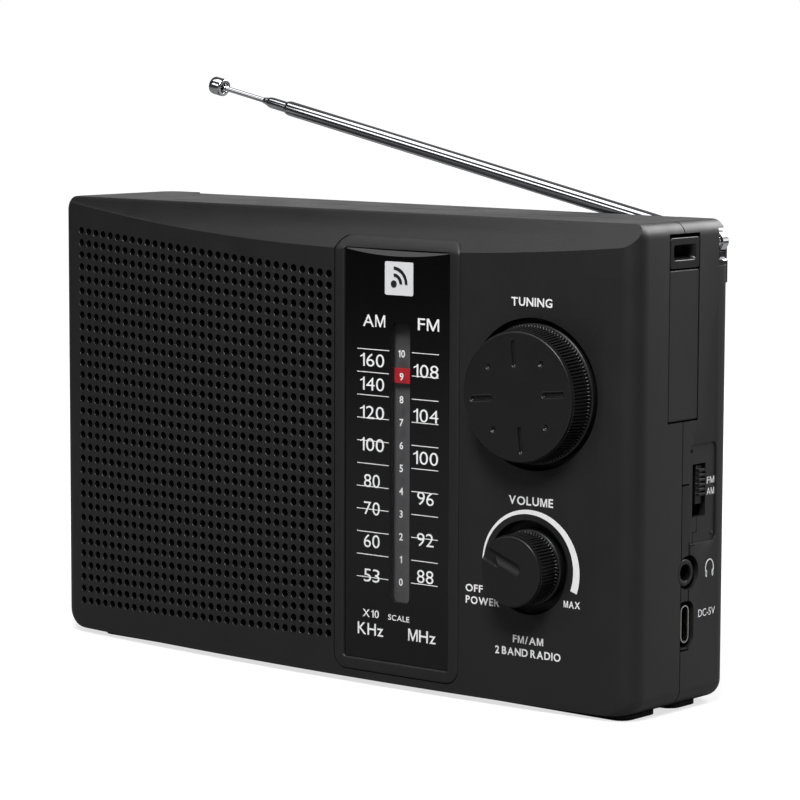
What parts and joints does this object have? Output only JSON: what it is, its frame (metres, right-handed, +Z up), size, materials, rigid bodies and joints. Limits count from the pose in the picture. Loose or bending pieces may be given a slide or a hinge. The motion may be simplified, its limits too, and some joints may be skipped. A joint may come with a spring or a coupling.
{
  "type": "tabletop radio",
  "caption": "Compact tabletop radio with a bowed perforated front, tall gloss dial strip with sliding pointer, ribbed tuning and volume knobs, and a telescopic antenna.",
  "frame": {"origin": "on the table plane, centred below the whole part's bounding box", "axes": "+X to the listener's right along the front, +Y to the back, +Z up; the dial, grille and knobs face -Y"},
  "size_m": [0.184, 0.0492, 0.1437],
  "materials": {
    "black_abs": "moulded, fine matte texture",
    "knob_abs": "moulded, satin",
    "gloss_lens": "polished, printed on the back",
    "silver_badge": "satin",
    "skid_rubber": "moulded, dull",
    "dark_plastic": "moulded",
    "pointer_red": "moulded, bright",
    "nylon": "moulded, natural",
    "dial_cord": "braided",
    "plated_steel": "plated",
    "chrome": "bright plated",
    "board": "phenolic laminate",
    "capacitor_case": "moulded",
    "copper_wire": "enamelled copper",
    "cone_paper": "pressed paper",
    "gasket_felt": "felt",
    "cell_jacket": "printed sleeve"
  },
  "bodies": {
    "cabinet": {"front_cabinet": "black_abs", "rear_cabinet": "black_abs", "front_skid": "skid_rubber", "rear_skid": "skid_rubber", "dial_lens": "gloss_lens", "dial_badge": "silver_badge", "dial_plate": "dark_plastic", "pointer_rail": "plated_steel", "dial_cord": "dial_cord", "volume_pot": "plated_steel", "band_switch_body": "plated_steel", "strap_lug": "black_abs", "side_panel": "black_abs", "port_strip": "black_abs", "headphone_jack": "dark_plastic", "usb_socket": "plated_steel", "main_board": "board", "tuning_capacitor": "capacitor_case", "if_can": "plated_steel", "electrolytic_capacitor": "dark_plastic", "audio_chip": "dark_plastic", "ferrite_rod": "dark_plastic", "ferrite_coil": "copper_wire", "ferrite_clip_left": "dark_plastic", "ferrite_clip_right": "dark_plastic", "speaker_gasket": "gasket_felt", "speaker_basket": "plated_steel", "speaker_magnet": "dark_plastic", "battery_cell_1": "cell_jacket", "battery_cell_2": "cell_jacket", "battery_cell_3": "cell_jacket", "battery_cell_4": "cell_jacket", "battery_plate_left": "plated_steel", "battery_plate_upper": "plated_steel", "battery_plate_lower": "plated_steel", "antenna_bracket": "plated_steel", "cabinet_screw_1": "plated_steel", "cabinet_screw_2": "plated_steel", "cabinet_screw_3": "plated_steel", "cabinet_screw_4": "plated_steel", "cabinet_screw_5": "plated_steel"},
    "tuning": {"tuning_knob": "knob_abs", "tuning_shaft": "plated_steel"},
    "volume": {"volume_knob": "knob_abs", "volume_shaft": "plated_steel"},
    "band_slider": {"band_switch_slider": "black_abs"},
    "pointer": {"dial_pointer": "pointer_red"},
    "drum": {"tuning_drum": "nylon", "cord_spring": "plated_steel"},
    "pulley_upper": {"upper_pulley": "nylon"},
    "pulley_lower": {"lower_pulley": "nylon"},
    "cone": {"speaker_cone": "cone_paper"},
    "door": {"battery_door": "black_abs"},
    "antenna_post": {"antenna_swivel": "chrome", "antenna_hinge_pin": "plated_steel"},
    "antenna_arm": {"antenna_outer_tube": "chrome"},
    "antenna_second": {"antenna_second_tube": "chrome"},
    "antenna_third": {"antenna_third_tube": "chrome"},
    "antenna_whip": {"antenna_rod": "chrome", "antenna_tip": "chrome"}
  },
  "joints": [
    {"name": "tuning_turn", "type": "hinge", "parent": "cabinet", "child": "tuning", "pos_m": [0.0643, -0.01676, 0.0735], "axis": [0.0682, -0.9977, 0], "range_deg": [-122, 943]},
    {"name": "pointer_travel", "type": "slide", "parent": "cabinet", "child": "pointer", "axis": [0, 0, 1], "range_m": [-0.0494, 0.0064]},
    {"name": "drum_turn", "type": "hinge", "parent": "cabinet", "child": "drum", "pos_m": [0.043, -0.00645, 0.054], "axis": [0, -1, 0], "range_deg": [-20.5, 156.5]},
    {"name": "upper_pulley_turn", "type": "hinge", "parent": "cabinet", "child": "pulley_upper", "pos_m": [0.0239, -0.00645, 0.096], "axis": [0, -1, 0], "range_deg": [-108, 833]},
    {"name": "lower_pulley_turn", "type": "hinge", "parent": "cabinet", "child": "pulley_lower", "pos_m": [0.0239, -0.00645, 0.012], "axis": [0, -1, 0], "range_deg": [-108, 833]},
    {"name": "volume_turn", "type": "hinge", "parent": "cabinet", "child": "volume", "pos_m": [0.0634, -0.01682, 0.0334], "axis": [0.0673, -0.9977, 0], "range_deg": [-195, 75]},
    {"name": "band_slide", "type": "slide", "parent": "cabinet", "child": "band_slider", "axis": [0, 0, 1], "range_m": [-0.0026, 0]},
    {"name": "battery_door_lift", "type": "slide", "parent": "cabinet", "child": "door", "axis": [0, 1, 0], "range_m": [0, 0.025]},
    {"name": "cone_stroke", "type": "slide", "parent": "cabinet", "child": "cone", "axis": [0, 1, 0], "range_m": [-0.0005, 0.0005], "stiffness_N_per_m": 500},
    {"name": "antenna_swivel_turn", "type": "hinge", "parent": "cabinet", "child": "antenna_post", "pos_m": [0.088, 0.02175, 0.1025], "axis": [0, 0, 1], "range_deg": [-180, 0]},
    {"name": "antenna_tilt", "type": "hinge", "parent": "antenna_post", "child": "antenna_arm", "pos_m": [0.088, 0.02175, 0.1078], "axis": [0, 1, 0], "range_deg": [-11.9, 168.1]},
    {"name": "antenna_second_slide", "type": "slide", "parent": "antenna_arm", "child": "antenna_second", "axis": [-0.9785, 0, 0.2062], "range_m": [0, 0.118]},
    {"name": "antenna_third_slide", "type": "slide", "parent": "antenna_second", "child": "antenna_third", "axis": [-0.9785, 0, 0.2062], "range_m": [0, 0.118]},
    {"name": "antenna_whip_slide", "type": "slide", "parent": "antenna_third", "child": "antenna_whip", "axis": [-0.9785, 0, 0.2062], "range_m": [-0.0142, 0.108]}
  ],
  "couplings": [
    {"joint": "pointer_travel", "follows": "tuning_turn", "m_per_rad": -0.003},
    {"joint": "drum_turn", "follows": "tuning_turn", "ratio": 0.16538},
    {"joint": "upper_pulley_turn", "follows": "tuning_turn", "ratio": 0.88235},
    {"joint": "lower_pulley_turn", "follows": "tuning_turn", "ratio": 0.88235}
  ]
}
